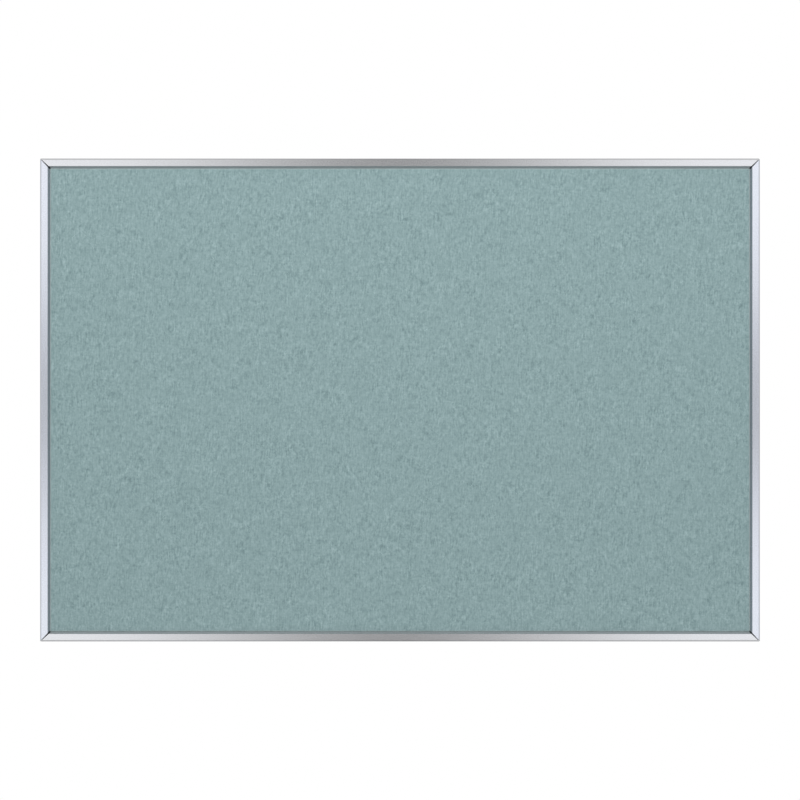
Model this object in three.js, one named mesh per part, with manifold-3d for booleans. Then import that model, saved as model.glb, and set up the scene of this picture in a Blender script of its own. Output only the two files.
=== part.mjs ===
// A felt notice board in a mitred aluminium frame, hung on the wall by two sliding hangers.
// Millimetres. X runs to the right as seen from the front, Z is up and the front faces -Y.
// The origin is the centre of the wall plane, which touches the rear faces of the wall pads.

import * as THREE from 'three';
import { mergeVertices } from 'three/addons/utils/BufferGeometryUtils.js';
import Module from 'manifold-3d';

const wasm = await Module();
wasm.setup();

// Panel: felt on a softboard core on a hardboard back, all of one outline.
const panelWidth = 900;
const panelHeight = 600;
const feltThickness = 2;
const coreThickness = 9;
const backThickness = 3;

// Rail section. Widths run inward from the rail's outer face.
const panelInset = 6; // outer face to the panel's edge
const railWidth = 12.5;
const faceWidth = 12.1; // seen from the front, bezel included
const bezelWidth = 2.5; // sloped inner edge of the face, seen from the front
const bezelDepth = 2.8;
const bezelLand = 0.8; // upright edge under the slope
const edgeRadius = 2.4;
const railWall = 1.5; // both sides of the groove
const chamberWall = 1.2;

// Groove along the rear of each rail, which holds the hardware.
const grooveDepth = 3.8;
const lipThickness = 1.2;
const lipReach = 2.1;
const webThickness = 1.2; // groove's floor, behind the panel

// Clearances.
const seatClearance = 0.3; // panel to the rail, front and rear
const edgeClearance = 0.5; // panel's edge to the rail
const mitreGap = 0.6; // between two rails at the frame's outer corner
const mitreOpening = 2; // the same gap at the rails' inner edge
const slideClearance = 0.25; // hardware to the groove's walls
const contactClearance = 0.25; // faces that press on each other
const screwClearance = 0.2;
const overrun = 1; // cutting shapes past the surface that they cut

// Corner hardware. Insets run along a rail from the frame's outer corner.
const cornerLeg = 50;
const cornerPlateThickness = 1.8;
const backingPlateThickness = 1;
const setScrewInset = 33;

// Screws.
const threadRadius = 2;
const screwChamfer = 0.4;
const setScrewRecess = 0.3;
const setScrewSlotWidth = 0.8;
const setScrewSlotDepth = 1.1;
const headRadius = 3.7;
const headRecess = 0.1;
const crossSpan = 4.2;
const crossWidth = 1;
const crossDepth = 1.4;

// Hangers: a keyhole plate behind the rail, clamped to a nut bar inside the groove.
const hangerInset = 156; // frame's side to the hanger's centre
const hangerWidth = 36;
const hangerHeight = 44;
const hangerThickness = 2;
const hangerTopInset = 1; // frame's outer face to the plate's upper edge
const hangerCornerRadius = 3;
const hangerScrewSpacing = 22;
const hangerScrewEndClearance = 0.6; // screw's tip to the groove's floor
const nutLength = 32;
const nutThickness = 2;
const keyholeHeadRadius = 4.75;
const keyholeSlotRadius = 2.5;
const keyholeRise = 8; // head hole's centre to the slot's end
const keyholeMargin = 7; // plate's lower edge to the head hole

// Wall pads.
const padRadius = 5.5;
const padThickness = 2.6;
const padChamfer = 0.6;
const padInset = 72;

// Facets on round shapes.
const cornerSegments = 6;
const roundSegments = 24;
const padSegments = 32;

// Overall size of the frame.
const frameWidth = panelWidth + 2 * panelInset;
const frameHeight = panelHeight + 2 * panelInset;

// Depths, forward from the rail's rear face.
const grooveFloor = lipThickness + grooveDepth;
const seatDepth = grooveFloor + webThickness;
const backDepth = seatDepth + seatClearance;
const coreDepth = backDepth + backThickness;
const feltDepth = coreDepth + coreThickness;
const lipUnderside = feltDepth + feltThickness + seatClearance;
const railDepth = lipUnderside + bezelLand + bezelDepth;
const cornerPlateDepth = lipThickness + contactClearance;
const backingPlateDepth = grooveFloor - contactClearance - backingPlateThickness;

// The groove lies between the rail's walls, and the hardware fits it along its whole length.
const grooveCentre = railWidth / 2;
const hardwareWidth = railWidth - 2 * railWall - 2 * slideClearance;

// A quarter turn carries the top rail to the right one, and each corner to the next.
const quarterTurn = Math.PI / 2;

// Shapes of a rail's section are drawn with x inward and y forward.
const railAxes = new THREE.Matrix4().makeBasis(
  new THREE.Vector3(0, 0, -1), new THREE.Vector3(0, -1, 0), new THREE.Vector3(-1, 0, 0));

// Shapes of a plate are drawn with x to the right and y up, and the plate grows forward.
const plateAxes = new THREE.Matrix4().makeBasis(
  new THREE.Vector3(1, 0, 0), new THREE.Vector3(0, 0, 1), new THREE.Vector3(0, -1, 0));

// Materials

function metal(color, roughness) {
  return new THREE.MeshStandardMaterial({ color, roughness, metalness: 1 });
}

function matt(color, roughness) {
  return new THREE.MeshStandardMaterial({ color, roughness, metalness: 0 });
}

const anodisedAluminium = () => metal(0xeef0f4, 0.32);
const zincPlatedSteel = () => metal(0xb9bdc2, 0.38);
const blackenedSteel = () => metal(0x55585c, 0.45);
const felt = () => matt(0x8ca4a6, 1);
const softboard = () => matt(0xa38c6b, 1);
const hardboard = () => matt(0x6f4d33, 0.75);
const rubber = () => matt(0x3d3f42, 0.85);

// Solids that are cut

function toSolid(geometry) {
  const bare = geometry.clone();
  bare.deleteAttribute('normal');
  bare.deleteAttribute('uv');
  const merged = mergeVertices(bare);
  const index = merged.index.array;
  const triangles = [];
  for (let i = 0; i < index.length; i += 3) {
    const [a, b, c] = [index[i], index[i + 1], index[i + 2]];
    if (a !== b && b !== c && c !== a) triangles.push(a, b, c);
  }
  return new wasm.Manifold(new wasm.Mesh({
    numProp: 3,
    vertProperties: merged.attributes.position.array,
    triVerts: Uint32Array.from(triangles),
  }));
}

function toGeometry(solid) {
  const { vertProperties, triVerts } = solid.getMesh();
  const geometry = new THREE.BufferGeometry();
  geometry.setAttribute('position', new THREE.BufferAttribute(vertProperties, 3));
  geometry.setIndex(new THREE.BufferAttribute(triVerts, 1));
  geometry.computeVertexNormals();
  return geometry;
}

function cut(geometry, tools) {
  const solid = tools.reduce((rest, tool) => rest.subtract(toSolid(tool)), toSolid(geometry));
  return toGeometry(solid);
}

// Shapes

function polygon(points) {
  return new THREE.Shape(points.map(([x, y]) => new THREE.Vector2(x, y)));
}

function roundHole(x, y, radius) {
  return new THREE.Path().absarc(x, y, radius, 0, 2 * Math.PI);
}

function roundedRectangle(left, bottom, right, top, radius) {
  const shape = new THREE.Shape();
  shape.absarc(right - radius, top - radius, radius, 0, quarterTurn);
  shape.absarc(left + radius, top - radius, radius, quarterTurn, 2 * quarterTurn);
  shape.absarc(left + radius, bottom + radius, radius, 2 * quarterTurn, 3 * quarterTurn);
  shape.absarc(right - radius, bottom + radius, radius, 3 * quarterTurn, 4 * quarterTurn);
  return shape;
}

// A plate with its rear face at y = 0.
function plate(shape, thickness) {
  const options = { depth: thickness, bevelEnabled: false, curveSegments: roundSegments / 2 };
  return new THREE.ExtrudeGeometry(shape, options).applyMatrix4(plateAxes);
}

// A turned piece on the Y axis, from a profile of [radius, y] points.
function turned(profile, segments = roundSegments) {
  return new THREE.LatheGeometry(profile.map(([x, y]) => new THREE.Vector2(x, y)), segments);
}

function addPiece(parent, name, geometry, material, x = 0, y = 0, z = 0) {
  const mesh = new THREE.Mesh(geometry, material);
  mesh.name = name;
  mesh.position.set(x, y, z);
  parent.add(mesh);
}

// Frame

// The chamber keeps an even wall to the face and to the bezel's slope.
function chamberSection() {
  const inner = panelInset - edgeClearance - chamberWall;
  const floor = lipUnderside + chamberWall;
  const front = railDepth - chamberWall;
  const slopeLength = Math.hypot(bezelWidth, bezelDepth);
  const slopeTop = faceWidth - bezelWidth - (chamberWall * slopeLength) / bezelDepth;
  const slopeAt = (depth) => slopeTop + ((railDepth - depth) * bezelWidth) / bezelDepth;
  return polygon([
    [railWall, seatDepth], [inner, seatDepth], [inner, floor],
    [slopeAt(floor), floor], [slopeAt(front), front], [railWall, front],
  ]);
}

function railSection() {
  const mouthNear = railWall + lipReach;
  const mouthFar = railWidth - mouthNear;
  const innerWall = railWidth - railWall;
  const panelStop = panelInset - edgeClearance;
  const section = polygon([
    [0, 0], [mouthNear, 0], [mouthNear, lipThickness], [railWall, lipThickness],
    [railWall, grooveFloor], [innerWall, grooveFloor], [innerWall, lipThickness],
    [mouthFar, lipThickness], [mouthFar, 0], [railWidth, 0],
    [railWidth, seatDepth], [panelStop, seatDepth], [panelStop, lipUnderside],
    [faceWidth, lipUnderside], [faceWidth, lipUnderside + bezelLand],
    [faceWidth - bezelWidth, railDepth], [edgeRadius, railDepth],
  ]);
  section.absarc(edgeRadius, railDepth - edgeRadius, edgeRadius, quarterTurn, 2 * quarterTurn);
  section.holes.push(chamberSection());
  return section;
}

// Each end is cut a little past 45 degrees, so the gap between two neighbours opens inwards.
function railGeometry(length) {
  const options = { depth: length, bevelEnabled: false, curveSegments: cornerSegments };
  const geometry = new THREE.ExtrudeGeometry(railSection(), options);
  const points = geometry.attributes.position;
  for (let i = 0; i < points.count; i += 1) {
    const inward = points.getX(i);
    const gap = mitreGap + ((mitreOpening - mitreGap) * inward) / railWidth;
    const end = points.getZ(i) > 0 ? 1 : -1;
    points.setZ(i, end * (length / 2 - inward - gap / Math.SQRT2));
  }
  geometry.applyMatrix4(railAxes);
  geometry.computeVertexNormals();
  return geometry;
}

function addFrame(parent) {
  const rails = [
    ['top', frameWidth, 0, frameHeight / 2],
    ['right', frameHeight, frameWidth / 2, 0],
    ['bottom', frameWidth, 0, -frameHeight / 2],
    ['left', frameHeight, -frameWidth / 2, 0],
  ];
  rails.forEach(([side, length, x, z], turn) => {
    const rail = new THREE.Group();
    rail.position.set(x, 0, z);
    rail.rotation.y = turn * quarterTurn;
    addPiece(rail, `frame_rail_${side}`, railGeometry(length), anodisedAluminium());
    parent.add(rail);
  });
}

// Panel

function addSheet(parent, name, depth, thickness, material) {
  const geometry = new THREE.BoxGeometry(panelWidth, thickness, panelHeight);
  addPiece(parent, name, geometry, material, 0, -depth - thickness / 2);
}

function addPanel(parent) {
  addSheet(parent, 'hardboard_back', backDepth, backThickness, hardboard());
  addSheet(parent, 'softboard_core', coreDepth, coreThickness, softboard());
  addSheet(parent, 'felt_facing', feltDepth, feltThickness, felt());
}

// Corners

// An L that fits the grooves of two rails, drawn in the top right corner.
function cornerShape() {
  const outer = railWall + slideClearance;
  const inner = outer + hardwareWidth;
  return polygon([
    [-outer, -outer], [-cornerLeg, -outer], [-cornerLeg, -inner],
    [-inner, -inner], [-inner, -cornerLeg], [-outer, -cornerLeg],
  ]);
}

function cornerPlate() {
  const shape = cornerShape();
  const radius = threadRadius + screwClearance;
  shape.holes.push(roundHole(-setScrewInset, -grooveCentre, radius));
  shape.holes.push(roundHole(-grooveCentre, -setScrewInset, radius));
  return plate(shape, cornerPlateThickness);
}

// The screw stands in the corner plate and its tip presses on the backing plate.
function setScrew() {
  const length = backingPlateDepth - contactClearance - setScrewRecess;
  const body = turned([
    [0, -length], [threadRadius - screwChamfer, -length],
    [threadRadius, screwChamfer - length], [threadRadius, 0], [0, 0],
  ]);
  const height = setScrewSlotDepth + overrun;
  const slot = new THREE.BoxGeometry(2 * (threadRadius + overrun), height, setScrewSlotWidth);
  slot.translate(0, height / 2 - setScrewSlotDepth, 0);
  return cut(body, [slot]);
}

function addCorners(parent) {
  const corners = [
    ['top_right', frameWidth / 2, frameHeight / 2],
    ['bottom_right', frameWidth / 2, -frameHeight / 2],
    ['bottom_left', -frameWidth / 2, -frameHeight / 2],
    ['top_left', -frameWidth / 2, frameHeight / 2],
  ];
  corners.forEach(([place, x, z], turn) => {
    const corner = new THREE.Group();
    corner.position.set(x, 0, z);
    corner.rotation.y = turn * quarterTurn;
    addPiece(corner, `corner_plate_${place}`, cornerPlate(), zincPlatedSteel(),
      0, -cornerPlateDepth);
    addPiece(corner, `corner_backing_${place}`, plate(cornerShape(), backingPlateThickness),
      zincPlatedSteel(), 0, -backingPlateDepth);
    addPiece(corner, `corner_screw_${place}_1`, setScrew(), blackenedSteel(),
      -setScrewInset, -setScrewRecess, -grooveCentre);
    addPiece(corner, `corner_screw_${place}_2`, setScrew(), blackenedSteel(),
      -grooveCentre, -setScrewRecess, -setScrewInset);
    parent.add(corner);
  });
}

// Hangers

// A head hole with a slot above it, where the wall screw's shank comes to rest.
function keyhole(centre) {
  const side = Math.asin(keyholeSlotRadius / keyholeHeadRadius);
  const hole = new THREE.Path();
  hole.absarc(0, centre, keyholeHeadRadius, quarterTurn + side, 5 * quarterTurn - side);
  hole.absarc(0, centre + keyholeRise, keyholeSlotRadius, 0, 2 * quarterTurn);
  return hole;
}

// The countersunk head's cone has sides at 45 degrees.
function countersink(x) {
  const shank = threadRadius + screwClearance;
  const mouth = headRadius + screwClearance;
  const tool = turned([
    [0, -hangerThickness - overrun], [shank, -hangerThickness - overrun],
    [shank, shank - mouth], [mouth, 0], [mouth, overrun], [0, overrun],
  ]);
  return tool.translate(x, 0, 0);
}

function hangerPlate() {
  const top = grooveCentre - hangerTopInset;
  const bottom = top - hangerHeight;
  const halfWidth = hangerWidth / 2;
  const shape = roundedRectangle(-halfWidth, bottom, halfWidth, top, hangerCornerRadius);
  shape.holes.push(keyhole(bottom + keyholeMargin + keyholeHeadRadius));
  const blank = plate(shape, hangerThickness);
  const offset = hangerScrewSpacing / 2;
  return cut(blank, [countersink(-offset), countersink(offset)]);
}

function hangerNut() {
  const [x, z] = [nutLength / 2, hardwareWidth / 2];
  const shape = polygon([[-x, -z], [x, -z], [x, z], [-x, z]]);
  const radius = threadRadius + screwClearance;
  shape.holes.push(roundHole(-hangerScrewSpacing / 2, 0, radius));
  shape.holes.push(roundHole(hangerScrewSpacing / 2, 0, radius));
  return plate(shape, nutThickness);
}

function hangerScrew() {
  const rise = hangerThickness + contactClearance - headRecess;
  const length = rise + grooveFloor - hangerScrewEndClearance;
  const body = turned([
    [0, -length], [threadRadius - screwChamfer, -length],
    [threadRadius, screwChamfer - length], [threadRadius, threadRadius - headRadius],
    [headRadius, 0], [0, 0],
  ]);
  const height = crossDepth + overrun;
  const across = new THREE.BoxGeometry(crossSpan, height, crossWidth);
  const along = new THREE.BoxGeometry(crossWidth, height, crossSpan);
  across.translate(0, height / 2 - crossDepth, 0);
  along.translate(0, height / 2 - crossDepth, 0);
  return cut(body, [across, along]);
}

function addHanger(parent, side, x) {
  const hanger = new THREE.Group();
  hanger.position.set(x, 0, frameHeight / 2 - grooveCentre);
  const plateRear = contactClearance + hangerThickness;
  const nutRear = -lipThickness - contactClearance;
  const offset = hangerScrewSpacing / 2;
  addPiece(hanger, `hanger_plate_${side}`, hangerPlate(), zincPlatedSteel(), 0, plateRear);
  addPiece(hanger, `hanger_nut_${side}`, hangerNut(), zincPlatedSteel(), 0, nutRear);
  addPiece(hanger, `hanger_screw_${side}_1`, hangerScrew(), zincPlatedSteel(),
    -offset, plateRear - headRecess);
  addPiece(hanger, `hanger_screw_${side}_2`, hangerScrew(), zincPlatedSteel(),
    offset, plateRear - headRecess);
  parent.add(hanger);
}

// Wall pads

function wallPad() {
  return turned([
    [0, 0], [padRadius, 0], [padRadius, padThickness - padChamfer],
    [padRadius - padChamfer, padThickness], [0, padThickness],
  ], padSegments);
}

function addWallPads(parent) {
  const x = frameWidth / 2 - grooveCentre;
  const z = frameHeight / 2 - padInset;
  addPiece(parent, 'wall_pad_top_left', wallPad(), rubber(), -x, 0, z);
  addPiece(parent, 'wall_pad_top_right', wallPad(), rubber(), x, 0, z);
  addPiece(parent, 'wall_pad_bottom_left', wallPad(), rubber(), -x, 0, -z);
  addPiece(parent, 'wall_pad_bottom_right', wallPad(), rubber(), x, 0, -z);
}

// Board

// The rails' rear faces stand off the wall by the pads' thickness.
const group = new THREE.Group();
group.position.y = -padThickness;
addFrame(group);
addPanel(group);
addCorners(group);
addHanger(group, 'left', hangerInset - frameWidth / 2);
addHanger(group, 'right', frameWidth / 2 - hangerInset);
addWallPads(group);

export default group;
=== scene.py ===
"""A felt notice board in a mitred aluminium frame, dressed for a front view on white.

Lengths are in metres, turns in degrees and noise scales in features to the metre.
"""
import math
import random

import bpy
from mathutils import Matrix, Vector, noise


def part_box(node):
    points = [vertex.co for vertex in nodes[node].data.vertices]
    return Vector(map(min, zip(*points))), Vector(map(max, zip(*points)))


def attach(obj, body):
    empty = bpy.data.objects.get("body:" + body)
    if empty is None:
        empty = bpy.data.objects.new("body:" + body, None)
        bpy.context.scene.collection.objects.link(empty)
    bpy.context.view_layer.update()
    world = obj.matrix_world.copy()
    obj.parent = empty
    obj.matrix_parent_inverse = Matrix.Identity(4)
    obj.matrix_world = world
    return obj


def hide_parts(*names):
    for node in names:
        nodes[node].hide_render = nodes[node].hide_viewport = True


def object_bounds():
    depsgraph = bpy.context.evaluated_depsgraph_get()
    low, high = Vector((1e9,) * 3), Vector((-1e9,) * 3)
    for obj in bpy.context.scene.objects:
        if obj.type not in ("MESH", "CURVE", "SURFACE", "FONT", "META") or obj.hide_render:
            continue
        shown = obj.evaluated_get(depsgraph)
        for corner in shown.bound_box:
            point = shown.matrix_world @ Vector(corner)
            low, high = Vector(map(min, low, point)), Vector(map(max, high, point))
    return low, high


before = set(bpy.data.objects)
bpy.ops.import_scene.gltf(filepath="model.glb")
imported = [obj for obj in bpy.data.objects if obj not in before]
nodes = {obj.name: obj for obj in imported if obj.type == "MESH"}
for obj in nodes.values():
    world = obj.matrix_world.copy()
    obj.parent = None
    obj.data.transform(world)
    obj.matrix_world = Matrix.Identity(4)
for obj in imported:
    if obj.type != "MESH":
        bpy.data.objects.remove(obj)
cad_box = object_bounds()

WHITE = (1.0, 1.0, 1.0, 1.0)
BLACK = (0.0, 0.0, 0.0, 1.0)

# Camera. The image is square and the board's front fills a share of its width.
CAMERA_DISTANCE = 3.0
BOARD_SHARE = 0.9
SENSOR = 36.0

# Felt: a cell of its grid, and how far its face swells and how far it rises and falls.
FELT_CELL = 0.0025
FELT_SWELL = 0.0009
FELT_RELIEF = 0.00012
FELT_EDGE = 0.00604  # from the sheet's edge to where the face starts to rise
FELT_ROLL = 0.0016  # over which it rises beside the bezel, as a quarter of an ellipse
ROLL_STEPS = 4
# Lumps and tufts of the relief: their scales across and up, their noise's plane and their share.
FELT_LUMPS = (
    (95.0, 70.0, 0.0, 0.6),
    (230.0, 150.0, 9.0, 0.4),
)

# Felt's colour in sRGB levels, and how far its lightest and darkest spots lie from it.
FELT_LEVELS = (141, 166, 168)
FELT_CONTRAST = 22.0
FELT_REACH = 0.45  # of the summed layers, at which those spots lie
# Layers of flecks: the turn of their long side from upright, their scale, how much they are drawn
# out, their roughness and their share.
FELT_LAYERS = (
    (0, 70.0, 1.0, 0.5, 0.15),
    (0, 240.0, 0.8, 0.7, 0.4),
    (-3, 580.0, 0.2, 0.5, 0.9),
    (48, 560.0, 0.3, 0.5, 0.4),
    (-42, 560.0, 0.3, 0.5, 0.4),
    (90, 520.0, 0.3, 0.5, 0.45),
)
# The same for fine hairs.
FELT_FUZZ = (
    (25, 3300.0, 0.12, 0.5, 0.36),
    (-55, 3000.0, 0.12, 0.5, 0.36),
)
FUZZ_HEIGHT = 0.5  # of the hairs in the bump, against the flecks' 1
FELT_BENDS = (60.0, 0.004)  # scale and reach of the bends in flecks and hairs
PATCH_SCALE = 55.0  # of patches with less and more contrast
PATCH_CONTRAST = (0.7, 1.3)

# Painted light lies beside the bezel: a lighter band that offsets the shade the bezel casts on the
# felt.
# Painted shade lies where its mitres open. Each ends between two distances from the sheet's edges.
PAINTED_LIGHT_ENDS = (0.0061, 0.0079)
PAINTED_LIGHT_SHARE = 0.8
PAINTED_LIGHT_COLOR = (0.5, 0.56, 0.56, 1.0)
CORNER_SHADE_ENDS = (0.0066, 0.0074)
CORNER_SHADE_COLOR = (0.006, 0.007, 0.008, 1.0)

# Loose fibres on the felt.
FIBRE_COUNT = 1500
FIBRE_LENGTH = (0.004, 0.014)
FIBRE_RADIUS = (0.00005, 0.00009)
FIBRE_STEPS = 5
FIBRE_SIDES = 3
FIBRE_LIFT = 0.00012
FIBRE_SINK = 0.25  # of the lift, by which the ends are sunk in
FIBRE_MARGIN = 0.012  # from the sheet's edge
FIBRE_HEADING = (90, 30)  # from level, and its spread
FIBRE_BEND = 35  # the spread of its bend
FIBRE_SHIFTS = (-22, 60)  # of its levels from the felt's
SEED = 7

# Bevels on the metal edges.
RAIL_BEVEL = 0.00018
PLATE_BEVEL = 0.0002
BEVEL_ANGLE = 35

# Satin anodised aluminium. Each rail's tint is a painted reflection: the uprights' is bluer, for
# the cooler sides of the room that they mirror.
ALUMINIUM = (0.855, 0.871, 0.905)
RAIL_TINTS = {"X": (1.01, 1.0, 0.983), "Z": (1.03, 1.045, 1.08)}
RAIL_ROUGHNESS = (0.17, 0.21)
GRAIN_SCALE = 2600.0
GRAIN_STRETCH = 0.02
GRAIN_TONE = 0.035
# The bezel's darker, greener colour is a painted reflection of the felt it mirrors, and painted
# shade. The rounded outer edge is painted a little darker than the face as painted shade, and the
# cut ends in the mitres are painted nearly black as painted shade in the gaps.
BEZEL_COLORS = {"X": (0.42, 0.455, 0.47), "Z": (0.303, 0.354, 0.388)}
BEZEL_MATT = 0.2
EDGE_TONES = {"X": -0.35, "Z": -0.18}
CUT_TONE = -0.935
CUT_ROUGHNESS = 0.7  # more than the face's

# Where each painted band of a rail starts and where it is full: the bezel's painted reflection and
# shade, the outer edge's painted shade and the cut ends' painted shade. Outward is a face's turn
# away from the board's middle times its distance from there, and facing is -1 on the front.
BEZEL_OUTWARD = (-0.1, -0.16)
BEZEL_FRONT = (0.0005, 0.0003)  # behind the felt's face
EDGE_OUTWARD = (0.01, 0.04)
EDGE_FACING = ((-0.94, -0.7), (-0.05, -0.2))
CUT_TURN = (0.3, 0.45)

# Colours of what lies behind.
HARDBOARD = (0.16, 0.075, 0.033)
SOFTBOARD = (0.37, 0.26, 0.15)
ZINC = (0.48, 0.50, 0.53)
BLACK_OXIDE = (0.09, 0.095, 0.10)
RUBBER = (0.047, 0.05, 0.055)

# Most of a noise's values lie between these.
MIDDLE = (0.3, 0.7)

# Light: the world's level and its spread from below to above, a wide lamp above and before the
# board, and its twin behind.
WORLD_LEVEL = 0.57
WORLD_SPREAD = 0.2
LAMP_POWER = 33.0
LAMP_SIZE = (3.0, 0.8)
LAMP_PLACE = (0.0, -1.8, 1.35)

FLOOR_HEIGHT = -1.25
FLOOR_SIZE = 8.0
FLOOR_FADE = (1.0, 2.8)  # from its middle, between which it turns to plain white
FLOOR_COLORS = ((0.79, 0.79, 0.79, 1.0), (0.83, 0.83, 0.83, 1.0))
FLOOR_GLOW = (0.35, 1.0)  # at its middle and at its rim

# What the metal mirrors: a grey room, lighter before the board than behind it and above than
# below, with a pale wall straight before the board and a less pale one straight behind it. A
# place in the room is a direction of length 1. Each wall fades in over a stretch of Y, and the
# front one fades out over a stretch of height.
ROOM_LEVELS = (0.78, 0.5)
ROOM_STRETCH = (-0.75, 0.75)
ROOM_HEIGHTS = (0.84, 1.0)
FRONT_WALL = 0.385
FRONT_STRETCH = (-0.96, -0.84)
FRONT_HEIGHTS = (0.22, 0.36)
REAR_WALL = 0.15
REAR_STRETCH = (0.75, 0.95)
ROOM_COOL = (1.0, 1.012, 1.05, 1.0)  # its sides
COOL_BLEND = 0.05
# A dim bar runs down the front wall, and a level one round the room. Each is given by its half
# width and its level: the upright one's width as a tangent, the level one's as a height.
UPRIGHT_BAR = (0.12, 0.19)
UPRIGHT_SHIFT = 0.0025  # towards -X
LEVEL_BAR = (0.0565, 0.262)
LEVEL_SHIFT = 0.0016  # down
LEVEL_STRETCH = (-0.96, -0.8)  # of Y, over which the level bar grows less dim
LEVEL_LOSS = 0.5  # of its dimness
LEAST_FORWARD = 0.05  # keeps the tangent finite


class Graph:
    """The node tree of a material or world, with a short call for each kind of node."""

    def __init__(self, owner):
        owner.use_nodes = True
        self.nodes = owner.node_tree.nodes
        self.links = owner.node_tree.links
        self.nodes.clear()

    def feed(self, socket, value):
        """Link the value to the socket where it is a socket too, and otherwise set it."""
        if isinstance(value, bpy.types.NodeSocket):
            self.links.new(value, socket)
        else:
            socket.default_value = value

    def add(self, kind, sockets=None, **settings):
        node = self.nodes.new(kind)
        for name, value in settings.items():
            setattr(node, name, value)
        for name, value in (sockets or {}).items():
            self.feed(node.inputs[name], value)
        return node

    def parts(self, vector):
        node = self.add("ShaderNodeSeparateXYZ", {"Vector": vector})
        return [node.outputs[name] for name in "XYZ"]

    def math(self, operation, a, b=0.0):
        return self.add("ShaderNodeMath", {0: a, 1: b}, operation=operation).outputs["Value"]

    def vector_math(self, operation, *values):
        sockets = dict(enumerate(values))
        return self.add("ShaderNodeVectorMath", sockets, operation=operation).outputs["Vector"]

    def weigh(self, *pairs):
        """The sum of values, each times its share."""
        total = 0.0
        for value, share in pairs:
            total = self.math("ADD", self.math("MULTIPLY", value, share), total)
        return total

    def span(self, value, low, high, start=0.0, end=1.0, smooth=False):
        """The value's stretch from low to high, carried to start and end."""
        sockets = {"Value": value, "From Min": low, "From Max": high,
                   "To Min": start, "To Max": end}
        kind = "SMOOTHSTEP" if smooth else "LINEAR"
        return self.add("ShaderNodeMapRange", sockets, interpolation_type=kind).outputs["Result"]

    def blend(self, factor, a, b):
        sockets = {"Factor": factor, "A": a, "B": b}
        return self.add("ShaderNodeMix", sockets, data_type="RGBA").outputs["Result"]

    def noise(self, vector, scale, detail=2.0, roughness=0.5, output="Fac"):
        sockets = {"Vector": vector, "Scale": scale, "Detail": detail, "Roughness": roughness}
        return self.add("ShaderNodeTexNoise", sockets).outputs[output]

    def turned(self, vector, scale=(1, 1, 1), angle=0):
        """The vector turned about Y by angle and then scaled."""
        sockets = {"Vector": vector, "Angle": math.radians(angle)}
        node = self.add("ShaderNodeVectorRotate", sockets, rotation_type="Y_AXIS")
        return self.vector_math("MULTIPLY", node.outputs["Vector"], scale)

    def shifted(self, vector, scale, reach):
        """The vector moved about by a soft noise, so that what follows it bends."""
        drift = self.noise(vector, scale, detail=1.0, output="Color")
        centred = self.vector_math("SUBTRACT", drift, (0.5, 0.5, 0.5))
        return self.vector_math("MULTIPLY_ADD", centred, (reach, reach, reach), vector)

    def bump(self, height, distance, strength):
        sockets = {"Height": height, "Distance": distance, "Strength": strength}
        return self.add("ShaderNodeBump", sockets).outputs["Normal"]


class Finish(Graph):
    """A material's node tree, which ends in one shader."""

    def __init__(self, name):
        self.material = bpy.data.materials.new(name)
        super().__init__(self.material)
        self.shader = self.add("ShaderNodeBsdfPrincipled")
        self.add("ShaderNodeOutputMaterial", {"Surface": self.shader.outputs["BSDF"]})
        coordinates = self.add("ShaderNodeTexCoord")
        self.place = coordinates.outputs["Object"]
        self.normal = coordinates.outputs["Normal"]

    def set(self, **sockets):
        for name, value in sockets.items():
            self.feed(self.shader.inputs[name.replace("_", " ")], value)


def tone(color, share):
    """A linear colour made lighter or darker by a share of itself."""
    return tuple(channel * (1.0 + share) for channel in color) + (1.0,)


def linear(levels, shift):
    """The linear colour of sRGB levels, each moved by the same number of levels."""
    channels = [(level + shift) / 255.0 for level in levels]
    return tuple(((c + 0.055) / 1.055) ** 2.4 for c in channels) + (1.0,)


# Materials

def felt_material(size):
    """Flecked wool felt, with painted light beside the bezel against its shade, and painted shade
    where its mitres open.
    """
    g = Finish("felt")
    bent = g.shifted(g.place, *FELT_BENDS)

    def layered(layers):
        """The sum of layers of flecks, centred on zero."""
        pairs = []
        for angle, scale, stretch, roughness, share in layers:
            drawn = g.turned(bent, (1, 1, stretch), angle)
            flecks = g.noise(drawn, scale, detail=1.0, roughness=roughness)
            pairs.append((g.math("SUBTRACT", flecks, 0.5), share))
        return g.weigh(*pairs)

    flecks, fuzz = layered(FELT_LAYERS), layered(FELT_FUZZ)
    patches = g.noise(g.place, PATCH_SCALE, detail=1.0)
    uneven = g.math("MULTIPLY", flecks, g.span(patches, *MIDDLE, *PATCH_CONTRAST))
    shade = g.span(g.math("ADD", uneven, fuzz), -FELT_REACH, FELT_REACH)
    dark, light = linear(FELT_LEVELS, -FELT_CONTRAST), linear(FELT_LEVELS, FELT_CONTRAST)

    x, y, z = g.parts(g.place)
    insets = [g.math("SUBTRACT", side / 2, g.math("ABSOLUTE", place))
              for side, place in ((size.x, x), (size.z, z))]
    # Painted light: a lighter band beside the bezel, where the bezel shades the felt.
    painted_light = g.span(g.math("MINIMUM", *insets), *PAINTED_LIGHT_ENDS, PAINTED_LIGHT_SHARE, 0.0)
    # Painted shade: near black in the felt's four corners, where the bezel's mitres open over it.
    corner_shade = g.span(g.math("MAXIMUM", *insets), *CORNER_SHADE_ENDS, 1.0, 0.0)
    # wool carries the flecked felt and the painted light beside the bezel.
    wool = g.blend(painted_light, g.blend(shade, dark, light), PAINTED_LIGHT_COLOR)
    g.set(Base_Color=g.blend(corner_shade, wool, CORNER_SHADE_COLOR))
    g.set(Roughness=1.0, Specular_IOR_Level=0.15, Sheen_Weight=0.08, Sheen_Roughness=0.6)
    height = g.weigh((flecks, 1.0), (fuzz, FUZZ_HEIGHT))
    g.set(Normal=g.bump(height, distance=0.0004, strength=0.4))
    return g.material


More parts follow.
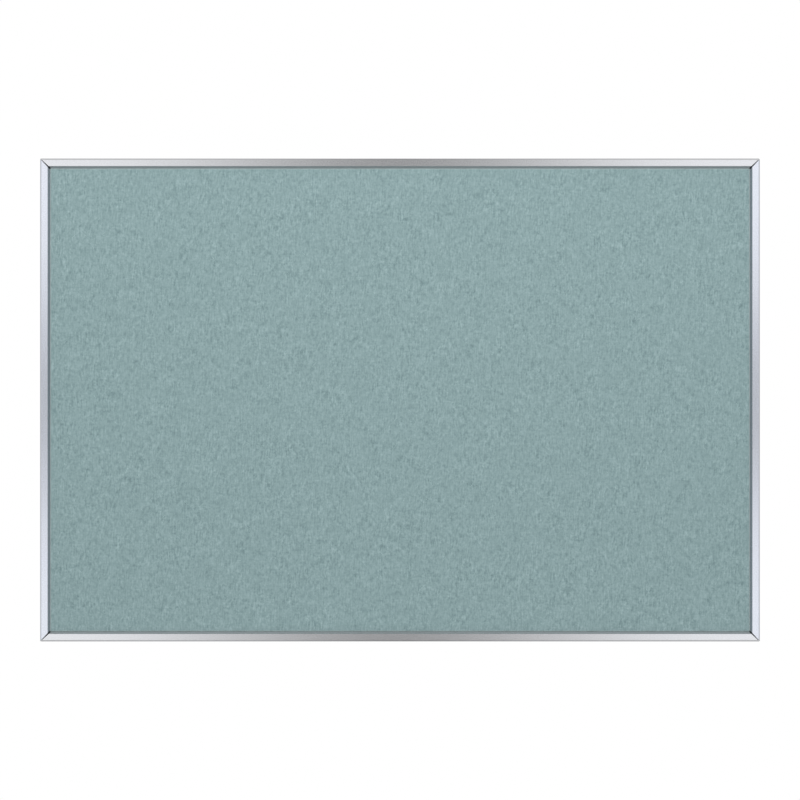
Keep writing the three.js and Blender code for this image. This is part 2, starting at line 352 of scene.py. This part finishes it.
def fibre_material():
    """Some of the loose fibres are lighter than the felt and some are darker."""
    g = Finish("felt_fibre")
    pick = g.noise(g.place, scale=160.0, detail=0.0)
    dark, light = (linear(FELT_LEVELS, shift) for shift in FIBRE_SHIFTS)
    g.set(Base_Color=g.blend(g.span(pick, 0.42, 0.48), dark, light))
    rough = g.span(g.noise(g.place, scale=900.0), *MIDDLE, 0.8, 1.0)
    g.set(Roughness=rough, Specular_IOR_Level=0.2)
    return g.material


def rail_material(name, axis):
    """Satin anodised aluminium with its grain along axis, a bezel with painted reflection and
    shade, an outer edge with painted shade and cut ends painted nearly black as painted shade.
    """
    g = Finish(name)
    # Painted reflection: the rail's tint, bluer on the uprights.
    color = tuple(channel * tint for channel, tint in zip(ALUMINIUM, RAIL_TINTS[axis]))
    along = tuple(GRAIN_STRETCH if letter == axis else 1.0 for letter in "XYZ")
    grain = g.noise(g.turned(g.place, along), GRAIN_SCALE, detail=3.0, roughness=0.6)
    cloud = g.noise(g.place, scale=9.0)
    shade = g.weigh((grain, 0.7), (cloud, 0.3))
    # Four colours: the satin face, the outer edge with painted shade, the bezel with painted
    # reflection and shade, and the cut ends with painted shade.
    satin, edge_shade, bezel_reflection_and_shade, cut_shade = (
        g.blend(shade, tone(base, level - GRAIN_TONE), tone(base, level + GRAIN_TONE))
        for base, level in (
            (color, 0.0), (color, EDGE_TONES[axis]), (BEZEL_COLORS[axis], 0.0), (color, CUT_TONE))
    )

    x, y, z = g.parts(g.place)
    across, facing, up = g.parts(g.normal)
    outward = g.math("ADD", g.math("MULTIPLY", across, x), g.math("MULTIPLY", up, z))
    felt_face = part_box("felt_facing")[0].y
    front = g.span(y, *(felt_face + depth for depth in BEZEL_FRONT))
    # Painted reflection and shade: the bezel's darker, greener colour.
    bezel = g.math("MULTIPLY", g.span(outward, *BEZEL_OUTWARD), front)
    # Painted shade: the rounded outer edge is painted darker than the face.
    turned = g.math("MULTIPLY", *(g.span(facing, *ends) for ends in EDGE_FACING))
    edge = g.math("MULTIPLY", g.span(outward, *EDGE_OUTWARD), turned)
    # Painted shade: the cut ends in the mitre gaps are painted nearly black.
    cut = g.span(g.math("ABSOLUTE", g.math("MULTIPLY", across, up)), *CUT_TURN)

    # The base colour carries the bezel's painted reflection and shade, the edge's painted shade
    # and the cut ends' painted shade.
    finish = g.blend(cut, g.blend(bezel, g.blend(edge, satin, edge_shade), bezel_reflection_and_shade), cut_shade)
    matt = g.math("MAXIMUM", cut, g.math("MULTIPLY", bezel, BEZEL_MATT))
    rough = g.math("ADD", g.span(grain, *MIDDLE, *RAIL_ROUGHNESS),
                   g.math("MULTIPLY", cut, CUT_ROUGHNESS))
    tangent = g.add("ShaderNodeTangent", direction_type="RADIAL", axis=axis)
    g.set(Base_Color=finish, Roughness=rough, Metallic=g.math("SUBTRACT", 1.0, matt))
    g.set(Anisotropic=0.8, Tangent=tangent.outputs["Tangent"])
    g.set(Normal=g.bump(grain, distance=0.00002, strength=0.25))
    return g.material


def hardboard_material():
    """Brown hardboard with the fine screen that its back is pressed on."""
    g = Finish("hardboard")
    waves = []
    for angle in (0, 90):
        sockets = {"Vector": g.turned(g.place, angle=angle), "Scale": 130.0, "Distortion": 0.6}
        waves.append(g.add("ShaderNodeTexWave", sockets).outputs["Fac"])
    screen = g.math("MULTIPLY", *waves)
    fibre = g.noise(g.place, scale=420.0, detail=4.0, roughness=0.65)
    cloud = g.noise(g.place, scale=14.0, detail=3.0)
    shade = g.weigh((fibre, 0.8), (cloud, 0.3))
    dark = g.blend(screen, tone(HARDBOARD, 0.12), tone(HARDBOARD, -0.3))
    g.set(Base_Color=g.blend(g.span(shade, 0.35, 0.8), dark, tone(HARDBOARD, 0.35)))
    g.set(Roughness=g.span(fibre, *MIDDLE, 0.62, 0.8), Specular_IOR_Level=0.3)
    g.set(Normal=g.bump(screen, distance=0.0002, strength=0.7))
    return g.material


def softboard_material():
    """Pressed fibreboard, made of small chips."""
    g = Finish("softboard")
    bent = g.shifted(g.place, scale=200.0, reach=0.002)
    chips = g.noise(bent, scale=600.0, detail=4.0, roughness=0.7)
    cloud = g.noise(g.place, scale=30.0)
    shade = g.span(g.weigh((chips, 0.7), (cloud, 0.3)), 0.35, 0.65)
    g.set(Base_Color=g.blend(shade, tone(SOFTBOARD, -0.3), tone(SOFTBOARD, 0.2)))
    g.set(Roughness=0.95, Normal=g.bump(chips, distance=0.0004, strength=0.7))
    return g.material


def plated_material(name, color, roughness):
    """Plated or blackened steel, with the blotches and fine marks of a barrelled finish."""
    g = Finish(name)
    blotch = g.noise(g.place, scale=160.0, detail=3.0, roughness=0.6)
    bent = g.shifted(g.place, scale=90.0, reach=0.004)
    marks = g.noise(g.turned(bent, (1, 1, 0.15), 30), scale=1900.0)
    shade = g.weigh((blotch, 0.6), (marks, 0.4))
    g.set(Base_Color=g.blend(g.span(shade, *MIDDLE), tone(color, -0.16), tone(color, 0.14)))
    g.set(Metallic=1.0, Roughness=g.span(blotch, *MIDDLE, *roughness))
    g.set(Normal=g.bump(marks, distance=0.00003, strength=0.4))
    return g.material


def rubber_material():
    """Dull rubber with a fine grain."""
    g = Finish("rubber")
    grain = g.noise(g.place, scale=1500.0, detail=3.0, roughness=0.6)
    cloud = g.noise(g.place, scale=220.0)
    g.set(Base_Color=g.blend(cloud, tone(RUBBER, -0.15), tone(RUBBER, 0.35)))
    g.set(Roughness=g.span(grain, *MIDDLE, 0.72, 0.9), Specular_IOR_Level=0.35)
    g.set(Normal=g.bump(grain, distance=0.00006, strength=0.5))
    return g.material


def paint(piece, material):
    piece.data.materials.clear()
    piece.data.materials.append(material)


def paint_nodes():
    across = rail_material("aluminium_across", "X")
    upright = rail_material("aluminium_upright", "Z")
    zinc = plated_material("zinc_plate", ZINC, roughness=(0.28, 0.42))
    black = plated_material("black_oxide", BLACK_OXIDE, roughness=(0.35, 0.5))
    finishes = {
        "frame_rail_top": across,
        "frame_rail_bottom": across,
        "frame_rail_left": upright,
        "frame_rail_right": upright,
        "hardboard_back": hardboard_material(),
        "softboard_core": softboard_material(),
        "corner_plate": zinc,
        "corner_backing": zinc,
        "corner_screw": black,
        "hanger": zinc,
        "wall_pad": rubber_material(),
    }
    for name, piece in nodes.items():
        for start, material in finishes.items():
            if name.startswith(start):
                paint(piece, material)


# Edges

def bevel(piece, width):
    modifier = piece.modifiers.new("edge", "BEVEL")
    modifier.width = width
    modifier.segments = 2
    modifier.limit_method = "ANGLE"
    modifier.angle_limit = math.radians(BEVEL_ANGLE)
    modifier.harden_normals = True
    piece.data.shade_smooth()


def soften_edges():
    for name, piece in nodes.items():
        if name.startswith("frame_rail"):
            bevel(piece, RAIL_BEVEL)
        elif name.startswith(("hanger_plate", "corner_plate")):
            bevel(piece, PLATE_BEVEL)


# Objects

def add_object(name, data):
    item = bpy.data.objects.new(name, data)
    bpy.context.scene.collection.objects.link(item)
    return item


def new_mesh(name, points, faces):
    mesh = bpy.data.meshes.new(name)
    mesh.from_pydata(points, [], faces)
    mesh.update()
    return mesh


def add_piece(name, mesh, material):
    """A piece that moves with the board, painted with the given material."""
    piece = add_object(name, mesh)
    piece.data.shade_smooth()
    paint(piece, material)
    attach(piece, "board")
    return piece


# Felt

def felt_height(x, z, width, height):
    """How far the face stands out at a point: a swell inside the bezel, and the felt's relief."""
    inside = min(width / 2 - abs(x), height / 2 - abs(z)) - FELT_EDGE
    left = 1.0 - min(max(inside / FELT_ROLL, 0.0), 1.0)
    share = math.sqrt(1.0 - left * left)
    relief = sum(part * noise.noise(Vector((x * across, plane, z * up)))
                 for across, up, plane, part in FELT_LUMPS)
    return FELT_SWELL * share + FELT_RELIEF * relief * share


def grid_lines(size):
    """Where the grid's lines lie along a side: close together at the roll, even between."""
    turns = [math.pi / 2 * step / ROLL_STEPS for step in range(ROLL_STEPS + 1)]
    edge = [0.0] + [FELT_EDGE + FELT_ROLL * (1.0 - math.cos(turn)) for turn in turns]
    inner = size - 2 * edge[-1]
    count = round(inner / FELT_CELL)
    even = [edge[-1] + inner * step / count for step in range(1, count)]
    return edge + even + [size - place for place in reversed(edge)]


def felt_mesh(low, high):
    """A closed sheet with a fine grid for its face and a flat back."""
    width, height = high.x - low.x, high.z - low.z
    places, levels = grid_lines(width), grid_lines(height)
    columns, rows = len(places) - 1, len(levels) - 1
    points, faces = [], []
    for level in levels:
        z = low.z + level
        for place in places:
            x = low.x + place
            points.append((x, low.y - felt_height(x, z, width, height), z))
    across = columns + 1
    for row in range(rows):
        for column in range(columns):
            a = row * across + column
            faces.append((a, a + 1, a + across + 1, a + across))
    rim = list(range(columns))
    rim += [row * across + columns for row in range(rows)]
    rim += [rows * across + column for column in range(columns, 0, -1)]
    rim += [row * across for row in range(rows, 0, -1)]
    first = len(points)
    points += [(points[i][0], high.y, points[i][2]) for i in rim]
    back = list(range(first, first + len(rim)))
    for i, a in enumerate(rim):
        j = (i + 1) % len(rim)
        faces.append((rim[j], a, back[i], back[j]))
    faces.append(tuple(reversed(back)))
    return new_mesh("felt", points, faces)


def fibre_rings(rng, low, high):
    """The rings of one loose fibre, which lies on the face with its ends sunk in."""
    width, height = high.x - low.x, high.z - low.z
    x = rng.uniform(low.x + FIBRE_MARGIN, high.x - FIBRE_MARGIN)
    z = rng.uniform(low.z + FIBRE_MARGIN, high.z - FIBRE_MARGIN)
    length = rng.uniform(*FIBRE_LENGTH)
    radius = rng.uniform(*FIBRE_RADIUS)
    heading = rng.gauss(*(math.radians(angle) for angle in FIBRE_HEADING))
    bend = rng.gauss(0.0, math.radians(FIBRE_BEND))
    outward = Vector((0, -1, 0))
    rings = []
    for step in range(FIBRE_STEPS + 1):
        share = step / FIBRE_STEPS
        angle = heading + bend * (share - 0.5)
        rise = (math.sin(math.pi * share) - FIBRE_SINK) * FIBRE_LIFT
        centre = Vector((x, low.y - felt_height(x, z, width, height) - rise, z))
        side = Vector((-math.sin(angle), 0.0, math.cos(angle)))
        turns = [2 * math.pi * corner / FIBRE_SIDES for corner in range(FIBRE_SIDES)]
        rings.append([centre + radius * (math.cos(turn) * side + math.sin(turn) * outward)
                      for turn in turns])
        x += math.cos(angle) * length / FIBRE_STEPS
        z += math.sin(angle) * length / FIBRE_STEPS
    return rings


def fibre_mesh(low, high):
    """All the loose fibres, each a closed tube."""
    rng = random.Random(SEED)
    points, faces = [], []
    for _ in range(FIBRE_COUNT):
        first = len(points)
        for ring in fibre_rings(rng, low, high):
            points += ring
        for step in range(FIBRE_STEPS):
            start = first + FIBRE_SIDES * step
            for corner in range(FIBRE_SIDES):
                a, b = start + corner, start + (corner + 1) % FIBRE_SIDES
                faces.append((a, b, b + FIBRE_SIDES, a + FIBRE_SIDES))
        last = first + FIBRE_SIDES * FIBRE_STEPS
        faces.append(tuple(reversed(range(first, first + FIBRE_SIDES))))
        faces.append(tuple(range(last, last + FIBRE_SIDES)))
    return new_mesh("felt_fibres", points, faces)


def add_felt():
    low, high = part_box("felt_facing")
    felt = add_piece("felt", felt_mesh(low, high), felt_material(high - low))
    fibres = add_piece("felt_fibres", fibre_mesh(low, high), fibre_material())
    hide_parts("felt_facing")


# Studio

def add_camera():
    camera = add_object("camera", bpy.data.cameras.new("camera"))
    camera.location = (0.0, cad_box[0][1] - CAMERA_DISTANCE, 0.0)
    camera.rotation_euler = (math.radians(90), 0.0, 0.0)
    view_width = (cad_box[1][0] - cad_box[0][0]) / BOARD_SHARE
    camera.data.sensor_width = SENSOR
    camera.data.lens = SENSOR * CAMERA_DISTANCE / view_width
    bpy.context.scene.camera = camera


def add_lamp(name, side):
    """A wide lamp aimed at the board, before it where side is 1 and behind it where side is -1."""
    lamp = add_object(name, bpy.data.lights.new(name, "AREA"))
    lamp.data.energy = LAMP_POWER
    lamp.data.shape = "RECTANGLE"
    lamp.data.size, lamp.data.size_y = LAMP_SIZE
    x, y, z = LAMP_PLACE
    lamp.location = (x, y * side, z)
    lamp.rotation_euler = (-lamp.location).to_track_quat("-Z", "Y").to_euler()
    lamp.visible_glossy = False


def add_world():
    """White behind the board. Metal mirrors a grey room with pale walls and dim bars."""
    world = bpy.data.worlds.new("studio")
    bpy.context.scene.world = world
    g = Graph(world)

    def background(color, strength):
        sockets = {"Color": color, "Strength": strength}
        return g.add("ShaderNodeBackground", sockets).outputs["Background"]

    def mix(factor, a, b):
        return g.add("ShaderNodeMixShader", {0: factor, 1: a, 2: b}).outputs["Shader"]

    x, y, z = g.parts(g.add("ShaderNodeTexCoord").outputs["Generated"])
    forward = g.math("MAXIMUM", g.math("MULTIPLY", y, -1.0), LEAST_FORWARD)
    beside = g.math("ABSOLUTE", g.math("ADD", g.math("DIVIDE", x, forward), UPRIGHT_SHIFT))
    above = g.math("ABSOLUTE", g.math("ADD", z, LEVEL_SHIFT))
    upright, level = (g.span(reach, 0.0, end, dim, 1.0)
                      for reach, (end, dim) in ((beside, UPRIGHT_BAR), (above, LEVEL_BAR)))
    loss = g.math("MULTIPLY", g.math("SUBTRACT", 1.0, level),
                  g.span(y, *LEVEL_STRETCH, 0.0, LEVEL_LOSS))
    bars = g.math("MULTIPLY", upright, g.math("ADD", level, loss))

    front = g.math("MULTIPLY", g.span(y, *FRONT_STRETCH, FRONT_WALL, 0.0),
                   g.span(above, *FRONT_HEIGHTS, 1.0, 0.0))
    walls = g.math("ADD", g.span(y, *ROOM_STRETCH, *ROOM_LEVELS), front)
    walls = g.math("ADD", walls, g.span(y, *REAR_STRETCH, 0.0, REAR_WALL))
    walls = g.math("MULTIPLY", walls, g.span(z, -1.0, 1.0, *ROOM_HEIGHTS))
    sideways = g.span(g.math("SUBTRACT", beside, above), -COOL_BLEND, COOL_BLEND)
    room = background(g.blend(sideways, WHITE, ROOM_COOL), g.math("MULTIPLY", bars, walls))

    path = g.add("ShaderNodeLightPath")
    ends = (WORLD_LEVEL * (1.0 - WORLD_SPREAD), WORLD_LEVEL * (1.0 + WORLD_SPREAD))
    diffuse = background(WHITE, g.span(z, -1.0, 1.0, *ends))
    seen = g.math("MAXIMUM", path.outputs["Is Camera Ray"], path.outputs["Is Transmission Ray"])
    shader = mix(path.outputs["Is Glossy Ray"], diffuse, room)
    shader = mix(seen, shader, background(WHITE, 1.0))
    g.add("ShaderNodeOutputWorld", {"Surface": shader})


def floor_material():
    """A pale floor whose lit parts read as white and whose shadows stay, and with no seen rim."""
    g = Finish("floor")
    cloud = g.noise(g.place, scale=3.0, detail=3.0)
    x, y, z = g.parts(g.place)
    reach = g.math("SQRT", g.math("ADD", g.math("MULTIPLY", x, x), g.math("MULTIPLY", y, y)))
    far = g.span(reach, *FLOOR_FADE, smooth=True)
    g.set(Base_Color=g.blend(far, g.blend(cloud, *FLOOR_COLORS), BLACK))
    g.set(Roughness=0.9, Specular_IOR_Level=0.1)
    path = g.add("ShaderNodeLightPath")
    seen = g.math("MAXIMUM", path.outputs["Is Camera Ray"], path.outputs["Is Glossy Ray"])
    seen = g.math("MAXIMUM", seen, path.outputs["Is Transmission Ray"])
    glow = g.math("MULTIPLY", seen, g.span(far, 0.0, 1.0, *FLOOR_GLOW))
    g.set(Emission_Color=WHITE, Emission_Strength=glow)
    return g.material


def add_floor():
    half = FLOOR_SIZE / 2
    corners = [(-half, -half, 0), (half, -half, 0), (half, half, 0), (-half, half, 0)]
    floor = add_object("floor", new_mesh("floor", corners, [(0, 1, 2, 3)]))
    floor.location.z = FLOOR_HEIGHT
    paint(floor, floor_material())
    floor.visible_glossy = False


add_camera()
paint_nodes()
soften_edges()
add_felt()
add_world()
add_lamp("lamp", 1)
add_lamp("rear_lamp", -1)
add_floor()
bpy.context.scene.view_settings.view_transform = "Standard"
